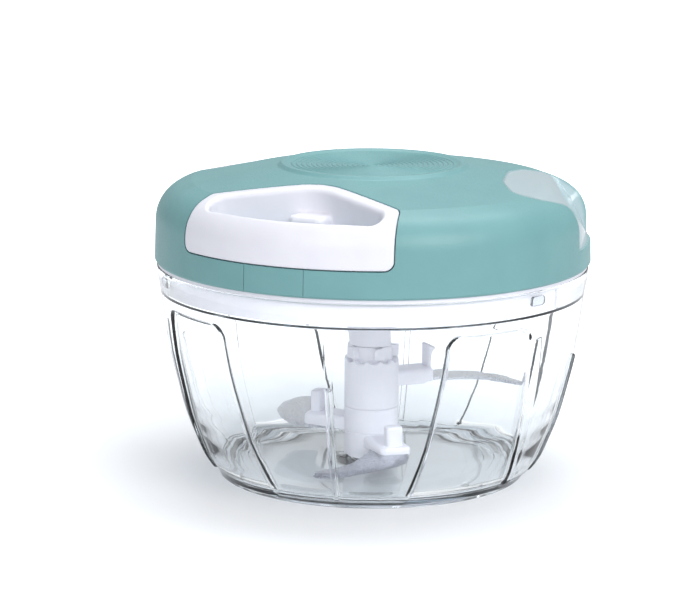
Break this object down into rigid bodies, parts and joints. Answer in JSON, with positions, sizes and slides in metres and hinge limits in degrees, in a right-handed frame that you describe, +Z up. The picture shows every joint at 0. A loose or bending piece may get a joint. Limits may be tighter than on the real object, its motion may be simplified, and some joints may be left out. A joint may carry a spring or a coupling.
{
  "type": "food chopper",
  "caption": "Round hand food chopper: a clear fluted bowl, a domed lid with a pull-out loop handle on a cord that winds a sprung reel, and a spinning stack of curved blades.",
  "frame": {"origin": "centre of the foot ring's underside, on the chopper's axis", "axes": "+Z up along the axis, the pull handle faces -Y, +X is to the right as seen from the handle side"},
  "size_m": [0.13, 0.13, 0.0938],
  "materials": {
    "bowl_plastic": "clear gloss",
    "cover_plastic": "fine satin grain with polished scoops",
    "white_plastic": "satin gloss",
    "blade_steel": "ground and polished",
    "pin_steel": "polished",
    "screw_steel": "zinc plated",
    "spring_steel": "blued",
    "brass": "turned",
    "bearing_plastic": "natural",
    "reel_plastic": "satin",
    "seal_rubber": "translucent",
    "cord": "braided"
  },
  "bodies": {
    "bowl": {"bowl": "bowl_plastic", "centre_pin": "pin_steel"},
    "lid": {"top_cover": "cover_plastic", "front_insert": "cover_plastic", "inner_cover": "white_plastic", "seal_ring": "seal_rubber", "cover_screws": "screw_steel", "drive_bearing": "bearing_plastic", "reel_housing": "white_plastic", "housing_screws": "screw_steel", "cord_eyelet": "brass", "reel_axle": "pin_steel", "reel_washer": "pin_steel", "cord_run": "cord"},
    "handle": {"pull_handle": "white_plastic", "cord_knot": "cord"},
    "reel": {"reel": "reel_plastic", "reel_bush": "brass", "pawl_pins": "pin_steel", "ratchet_pawls": "bearing_plastic", "spring_cap": "screw_steel", "cord_windings": "cord", "mainspring": "spring_steel"},
    "drive": {"drive_hub": "white_plastic"},
    "blades": {"blade_shaft": "white_plastic", "shaft_bush": "brass", "sleeve_lower": "white_plastic", "sleeve_middle": "white_plastic", "sleeve_upper": "white_plastic", "blade_lower": "blade_steel", "blade_middle": "blade_steel", "blade_upper": "blade_steel"}
  },
  "joints": [
    {"name": "lid_lift", "type": "slide", "parent": "bowl", "child": "lid", "axis": [0, 0, 1], "range_m": [0, 0.12]},
    {"name": "cord_pull", "type": "slide", "parent": "lid", "child": "handle", "axis": [0, -1, 0], "range_m": [0, 0.35], "stiffness_N_per_m": 10, "springref_m": -0.1, "deforming": ["cord_run"]},
    {"name": "reel_turn", "type": "hinge", "parent": "lid", "child": "reel", "pos_m": [0, 0, 0.0803], "axis": [0, 0, 1], "range_deg": [0, 963]},
    {"name": "drive_turn", "type": "hinge", "parent": "lid", "child": "drive", "pos_m": [0, 0, 0.065], "axis": [0, 0, 1], "range_deg": [0, 963]},
    {"name": "blade_spin", "type": "hinge", "parent": "bowl", "child": "blades", "pos_m": [0, 0, 0.016], "axis": [0, 0, 1], "range_deg": [0, 963]}
  ],
  "couplings": [
    {"joint": "reel_turn", "follows": "cord_pull", "rad_per_m": 47.962},
    {"joint": "drive_turn", "follows": "cord_pull", "rad_per_m": 47.962},
    {"joint": "blade_spin", "follows": "cord_pull", "rad_per_m": 47.962}
  ]
}
